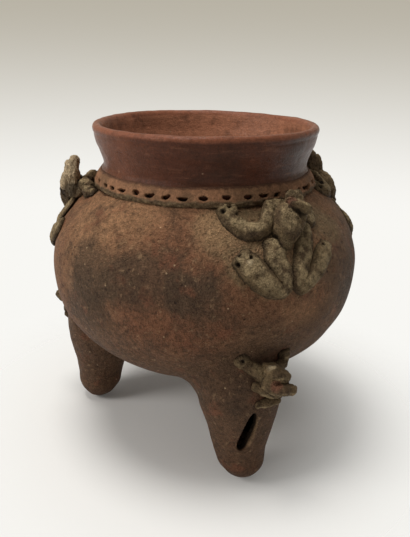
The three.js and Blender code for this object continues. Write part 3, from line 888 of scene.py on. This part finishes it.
def closeness(spots, blobs):
    """1 inside the nearest of some blobs, each a middle and a reach, and 0 outside them."""
    share = np.zeros(len(spots))
    for middle, reach, *_ in blobs:
        share = np.maximum(share, smooth(np.linalg.norm(spots - middle, axis=1), reach * 1.1, reach * 0.6))
    return share


def crease_shade(spots, spines):
    """Painted shade, as a share: how far into a crease the spots lie, beside the pot or beside other
    strips, given by their spines.
    """
    middles, reach = spines[:, :3], spines[:, 3]
    squares = (spots ** 2).sum(1)[:, None] + (middles ** 2).sum(1) - 2 * spots @ middles.T
    gap = (np.sqrt(np.maximum(squares, 0)) - reach).min(1)
    return np.maximum(0.6 * smooth(off_bowl(spots)[0], 1.0, 0.1), 0.75 * smooth(gap, 0.6, -0.4))


def make_creature(prefix, azimuth, parts, material, seed):
    """A creature's pieces, roughened by waver of three sizes, with holes pressed into them by S-curves,
    and turned to their azimuth."""
    for order, (part, form) in enumerate(parts.items()):
        node = prefix + part
        others = [other["rolls"] for name, other in parts.items() if name != part]
        spines = np.vstack([spine for rolls in others for _, spine in rolls])
        mesh = mesh_of(node + "_clay", [skin for skin, _ in form["rolls"]])
        if len(form["rolls"]) > 1:
            mesh = fused(mesh, 0.22)
        holes = form.get("holes", ())
        spots = places(mesh)
        # painted shade: pressed holes, creases between strips and the strips' feet against the pot
        painted(mesh, "dark", np.maximum(closeness(spots, holes), crease_shade(spots, spines)))
        # wear and painted highlight on faces that turn away from the pot
        painted(mesh, "wear_and_highlight", smooth((directions(mesh) * off_bowl(spots)[1]).sum(1), 0.7, 1.0))
        painted(mesh, "red", closeness(spots, form.get("red", ())))
        painted(mesh, "pale", closeness(spots, form.get("pale", ())))
        marks = 0.26 * waver(spots, 5, seed + order) + 0.13 * waver(spots, 2, seed + order + 20)
        marks = marks + 0.06 * waver(spots, 1, seed + 50)
        for middle, reach, depth in holes:
            marks = marks + depth * smooth(np.linalg.norm(spots - middle, axis=1), reach, reach * 0.4)
        placed(mesh, turned(spots - directions(mesh) * marks[:, None], azimuth))
        piece(mesh, material, [node])


def shoulder_head(rise, gape, lean, plump):
    """Knots of a head and of the two lips of its mouth."""
    head = [by_neck(7.2, 49.4 - lean / 2, 100.2, 4.2, 3.6), by_neck(7.5, 50.6 - lean, 102.6, 4.2, 2.8)]
    back_lip = [
        by_neck(7.4, 50.2 - lean, 103.2, 4.2, 1.6 * plump),
        by_neck(7.5, 49.6 - lean, 105.4 + rise / 2, 4.1, 1.3 * plump),
        by_neck(7.5, 49.2 - lean, 106.6 + rise, 3.6, 1.1 * plump),
    ]
    front_lip = [
        by_neck(7.4, 52.0 - lean, 102.4, 4.2, 1.6 * plump),
        by_neck(7.4, 51.4 - lean + 2.2 * gape, 103.7 + rise / 2, 4.2, 1.3 * plump),
        by_neck(7.2, 51.0 - lean + 3.8 * gape, 104.6 + rise, 3.5, 1.1 * plump),
    ]
    return head, back_lip, front_lip


def shoulder_arms(sag):
    """Knots of arms that come over the torso's top and hang down on both sides of it."""
    left_arm = [
        on_shoulder(-13.4, -0.4 * sag, 0.5, 3.1, 1.6),
        on_shoulder(-13.4, 2.4 * sag, 0.7, 2.6, 2.0),
        on_shoulder(-11.4, 4.5 * sag, 0.8, 2.5, 2.2),
        on_shoulder(-8.4, 5.3 * sag, 0.9, 2.3, 2.3),
        on_shoulder(-5.2, 4.8 * sag, 1.2, 2.4, 2.3),
        on_shoulder(-2.2, 3.2 * sag, 1.6, 2.6, 2.3),
        on_shoulder(0.4, 1.0 * sag, 2.2, 2.6, 2.2),
        by_neck(4.4, 46.2, 102.8, 2.3, 1.9),
    ]
    right_arm = [
        on_shoulder(17.8, 1.4 * sag, 0.3, 1.7, 1.2),
        on_shoulder(17.0, 3.6 * sag, 0.5, 1.9, 1.4),
        on_shoulder(15.2, 4.8 * sag, 0.8, 2.0, 1.6),
        on_shoulder(13.2, 3.6 * sag, 1.4, 2.1, 2.0),
        on_shoulder(12.2, 1.2 * sag, 2.0, 2.2, 2.1),
        by_neck(10.8, 46.6, 102.6, 2.1, 2.0),
    ]
    return left_arm, right_arm


def shoulder_hind_legs(thick):
    """Knots of hind legs, folded at the knee with the feet turned up."""
    left_leg = [
        on_shoulder(-2.4, 8.8, 0.2, 3.6, 1.3 * thick),
        on_shoulder(-3.0, 12.0, 0.2, 3.6, 1.4 * thick),
        on_shoulder(-1.9, 15.8, 0.2, 3.2, 1.5 * thick),
        on_shoulder(-0.9, 19.2, 0.2, 2.5, 1.7 * thick),
        on_shoulder(-2.2, 22.0, 0.2, 2.5, 2.0 * thick),
        on_shoulder(-5.8, 21.2, 0.2, 3.0, 2.3 * thick),
        on_shoulder(-9.3, 17.8, 0.2, 3.8, 2.3 * thick),
        on_shoulder(-12.5, 14.2, 0.2, 4.0, 2.2 * thick),
        on_shoulder(-14.4, 12.0, 0.1, 3.3, 1.8 * thick),
    ]
    right_leg = [
        on_shoulder(11.4, 6.2, 0.6, 2.8, 1.6 * thick),
        on_shoulder(10.0, 9.4, 0.3, 3.2, 1.5 * thick),
        on_shoulder(8.0, 12.8, 0.2, 3.3, 1.5 * thick),
        on_shoulder(6.0, 16.4, 0.2, 3.0, 1.6 * thick),
        on_shoulder(4.2, 19.8, 0.2, 2.5, 1.8 * thick),
        on_shoulder(5.6, 22.0, 0.2, 2.5, 2.0 * thick),
        on_shoulder(9.6, 20.3, 0.2, 3.0, 2.2 * thick),
        on_shoulder(14.0, 16.9, 0.2, 3.4, 2.2 * thick),
        on_shoulder(17.4, 14.1, 0.2, 3.3, 2.0 * thick),
        on_shoulder(19.2, 12.6, 0.1, 2.6, 1.7 * thick),
    ]
    return left_leg, right_leg


def make_shoulder_creature(side, azimuth, rise, gape, lean, plump, sag, thick, material):
    """A creature that clings to the shoulder: torso, raised head, arms and folded hind legs."""
    torso = [
        on_shoulder(1.2, 8.4, 0.6, 2.8, 2.2),
        on_shoulder(2.4, 6.4, 2.0, 4.8, 3.4),
        on_shoulder(4.4, 4.0, 3.2, 5.6, 4.2),
        by_neck(6.4, 51.0, 100.2, 4.6, 3.6),
    ]
    left_arm, right_arm = shoulder_arms(sag)
    left_leg, right_leg = shoulder_hind_legs(thick)
    fingers = ((-12.2, -0.8, 1.1), (-15.2, 0.3, 1.2), (-11.2, 1.2, 1.2), (-13.6, 1.9, 0.8))
    toes = ((-15.7, 10.7, 1.0), (-17.0, 13.6, 1.3), (-12.0, 11.8, 0.8))
    parts = {
        "torso": {"rolls": [roll(torso)], "holes": pricks([(4.1, 5.0, 0.9)], 6.6, 1.2)},
        "head": {
            "rolls": [roll(knots, lute=0) for knots in shoulder_head(rise, gape, lean, plump)],
            "red": [(by_neck(5.8, 51.2 - lean, 105.0 + rise)[:3], 2.6 * gape)],
            # painted highlight on the tip of the front lip
            "pale": [(by_neck(9.2, 55.2 - lean, 105.4 + rise)[:3], 1.9 * gape)],
        },
        "left_arm": {
            "rolls": [roll(left_arm, lean=-0.9)],
            "holes": pricks([(across, drop * sag, reach) for across, drop, reach in fingers], 1.8, 1.3),
        },
        "right_arm": {"rolls": [roll(right_arm)]},
        "left_leg": {
            "rolls": [roll(left_leg)],
            "holes": pricks(toes, 1.8, 1.3),
            "pale": [(on_shoulder(-13.0, 13.2, 2.0)[:3], 1.2)],
        },
        "right_leg": {"rolls": [roll(right_leg)], "holes": pricks([(17.2, 11.6, 0.8)], 1.6, 0.9)},
    }
    make_creature(f"{side}_figure_", azimuth, parts, material, 60)


def make_leg_creature(number, azimuth, turn, reach, material):
    """A creature that looks out from the top of a leg: a head with open jaws, arms and strips of pressed
    clay."""
    shift = SHANK_RADIUS * math.sin(math.radians(turn))

    def on_belly(across, rise, lift, wide=0.0, thick=0.0):
        """A knot on the bowl's belly: mm across, above the leg's top and off the skin, and its size."""
        height = LEG_RISE + rise
        radius = bowl_radius(height)
        skin = around((shift + across) / radius, radius, height)
        return [*(skin + off_bowl(skin)[1] * lift), wide, thick]

    def by_leg(degrees, rise, lift, wide=0.0, thick=0.0):
        """A knot beside the leg: degrees round it, mm above its top and off its skin, and its size."""
        height = LEG_RISE + rise
        out = lift * (reach if lift > 2.5 else 1)
        point = around(math.radians(turn + degrees), leg_radius(height) + out, height)
        return [point[0], point[1] - leg_axis(height), height, wide, thick]

    def off_pot(points):
        return np.minimum(off_bowl(points)[0], off_leg(points))

    head = [by_leg(-4, 3.5, -3.0, 5.0, 4.4), by_leg(-5, 5.4, 3.0, 5.2, 4.4)]
    upper_jaw = [by_leg(-5, 9.0, 4.5, 4.8, 2.6), by_leg(-5, 9.0, 7.6, 4.3, 2.1)]
    lower_jaw = [by_leg(-5, 3.8, 4.5, 4.8, 2.4), by_leg(-5, 4.8, 8.2, 4.4, 1.9)]
    upper_strip = [by_leg(-26, 4.0, 0.6, 1.6, 1.5), by_leg(-14, 2.6, 1.6, 2.0, 1.9),
                   by_leg(-2, 1.0, 1.9, 2.0, 2.0), by_leg(10, 0.2, 1.0, 1.6, 1.5)]
    lower_strip = [by_leg(-22, -3.0, 0.2, 1.3, 1.1), by_leg(-10, -2.8, 1.0, 1.6, 1.6),
                   by_leg(2, -2.6, 1.3, 1.7, 1.7), by_leg(14, -2.2, 0.6, 1.3, 1.2)]
    left_arm = [on_belly(-10.6, 12.2, 0.4, 2.6, 1.7), on_belly(-8.8, 10.8, 1.6, 2.6, 2.2),
                by_leg(-20, 8.8, 2.4, 2.6, 2.4), by_leg(-13, 7.2, 2.5, 2.6, 2.4)]
    right_arm = [on_belly(6.4, 11.6, 0.4, 1.6, 1.4), on_belly(5.6, 9.2, 2.2, 1.8, 1.7),
                 by_leg(6, 7.6, 2.5, 2.0, 2.0)]
    fingers = ((-10.6, 13.2, 1.0), (-13.2, 11.0, 0.7), (-12.0, 9.4, 0.7))
    finger_holes = [(on_belly(across, rise, 1.8)[:3], size, 1.0) for across, rise, size in fingers]
    parts = {
        "head": {
            "rolls": [roll(knots, lute=0) for knots in (head, upper_jaw, lower_jaw)],
            "red": [(by_leg(-13, 6.8, 8.6)[:3], 2.4)],
            # painted highlight on the top of the head
            "pale": [(by_leg(-12, 11.0, 7.4)[:3], 1.9)],
        },
        "upper_strip": {"rolls": [roll(upper_strip, 0.5, off_pot)]},
        "lower_strip": {"rolls": [roll(lower_strip, 0.5, off_pot)]},
        "left_arm": {"rolls": [roll(left_arm, 0.8, off_pot)], "holes": finger_holes},
        "right_arm": {"rolls": [roll(right_arm, 0.8, off_pot)]},
    }
    make_creature(f"leg_{number}_figure_", azimuth, parts, material, 80)


def make_pellets(number, azimuth, material):
    """Loose balls of clay, a little lumpy, in a ring on the floor of a leg's hollow."""
    lane = (PELLET_RADIUS + PELLET_CLEARANCE / 2) / math.sin(math.pi / PELLETS_PER_LEG)
    height = LEG_SOLE + PELLET_CLEARANCE + PELLET_RADIUS
    azimuths = np.linspace(0, 2 * math.pi, 36, endpoint=False)
    tilt = np.linspace(-math.pi / 2 + 0.08, math.pi / 2 - 0.08, 24)[:, None]
    for place in range(PELLETS_PER_LEG):
        middle = around(place * 2 * math.pi / PELLETS_PER_LEG, lane, height) - [0, leg_axis(height), 0]
        ball = around(azimuths, PELLET_RADIUS * np.cos(tilt), PELLET_RADIUS * np.sin(tilt))
        ball = ball * (0.98 - 0.02 * np.clip(waver(ball, 4, 90 + place), -1, 1)[..., None])
        name = f"leg_{number}_pellet_{place + 1}"
        mesh = mesh_of(name + "_clay", [shell(turned(ball + middle, azimuth))])
        piece(mesh, material, [name], name)


# Stage, light and camera

def make_table():
    """A pale round table that takes the vase's shadow. Further out it gives way, by place, to the backdrop
    seen through it."""
    reach = (np.linspace(0.02, 1, 40) ** 2)[:, None] * TABLE_REACH
    vertices, faces = shell(around(np.linspace(0, 2 * math.pi, 96, endpoint=False), reach, 0 * reach))
    mesh = bpy.data.meshes.new("table")
    mesh.from_pydata((vertices * MM).tolist(), [], [face for face in faces if max(face) < len(vertices) - 1])
    paper = Finish("white_paper")
    paper.set(tone(247, 246, 243), 0.95)
    away = paper.node("ShaderNodeVectorMath", {"operation": "LENGTH"}, {0: paper.place}, "Value")
    share = paper.between(away, *TABLE_FADE) * paper.seen()
    through = paper.node("ShaderNodeBsdfTransparent")
    surface = Signal(paper, paper.shader.outputs[0])
    shown = paper.node("ShaderNodeMixShader", None, {0: share, 1: surface, 2: through})
    paper.feed(paper.tree.nodes["Material Output"].inputs["Surface"], shown)
    mesh.materials.append(paper.material)
    linked("table", mesh)


def make_light(name, place, aim, watts, color):
    """A round lamp that faces what it is aimed at."""
    lamp = bpy.data.lights.new(name, "AREA")
    lamp.shape = "DISK"
    lamp.size = LAMP_SIZE * MM
    lamp.energy = watts
    lamp.color = color
    place, aim = np.array(place) * MM, np.array(aim) * MM
    back = (place - aim) / np.linalg.norm(place - aim)
    right = np.cross([0, 0, 1], back)
    right /= np.linalg.norm(right)
    linked(name, lamp).matrix_world = frame_matrix(right, np.cross(back, right), back, place)


def frame_matrix(right, up, back, place):
    """The matrix of a camera or lamp from its own three directions and its place in metres."""
    rows = np.column_stack([right, up, back, place]).tolist()
    return Matrix(rows + [[0, 0, 0, 1]])


def make_camera():
    """The photograph's camera: 20 degrees above level, 0.23 m before the vase's axis."""
    pitch, yaw, tilt = (math.radians(degrees) for degrees in CAMERA_TURNS)
    ahead = np.array([math.sin(yaw) * math.cos(pitch), math.cos(yaw) * math.cos(pitch), -math.sin(pitch)])
    level = np.array([math.cos(yaw), -math.sin(yaw), 0])
    above = np.cross(level, ahead)
    right = math.cos(tilt) * level + math.sin(tilt) * above
    up = math.cos(tilt) * above - math.sin(tilt) * level
    lens = bpy.data.cameras.new("camera")
    lens.sensor_fit = "VERTICAL"
    lens.sensor_height = SENSOR_HEIGHT
    lens.lens = SENSOR_HEIGHT * FOCAL_LENGTH / PHOTO_HEIGHT
    lens.clip_start = 0.01
    camera = linked("camera", lens)
    camera.matrix_world = frame_matrix(right, up, -ahead, (np.array(CAMERA_PLACE) + AXIS) * MM)
    bpy.context.scene.camera = camera


def make_world():
    """An even pale light. What is seen of it is the backdrop, paper that is greyer the higher one looks."""
    world = bpy.data.worlds.new("room")
    world.use_nodes = True
    room = Shading(world.node_tree)
    rise = room.upward(room.node("ShaderNodeTexCoord"))
    backdrop = room.blend(room.between(rise, *BACKDROP_RISE), tone(248, 247, 243), tone(183, 177, 163))
    seen = room.seen()
    glow = world.node_tree.nodes["Background"]
    room.feed(glow.inputs["Color"], room.blend(seen, tone(250, 248, 244), backdrop))
    room.feed(glow.inputs["Strength"], seen * (1 - FILL) + FILL)
    bpy.context.scene.world = world


def main():
    bpy.context.scene.view_settings.view_transform = "Standard"
    make_camera()
    make_world()
    for name, lamp in LAMPS.items():
        make_light(name, **lamp)
    make_table()
    make_bowl(fired_clay("bowl_clay"))
    make_neck(red_slip())
    make_band(band_clay())
    legs, figures, pellets = fired_clay("leg_clay"), figure_clay(), pellet_clay()
    for number, (azimuth, (turn, reach)) in enumerate(zip(LEG_AZIMUTHS, LEG_CREATURES), 1):
        make_leg(number, azimuth, legs)
        make_leg_creature(number, azimuth, turn, reach, figures)
        make_pellets(number, azimuth, pellets)
    for side, traits in SHOULDER_CREATURES.items():
        make_shoulder_creature(side, material=figures, **traits)


main()
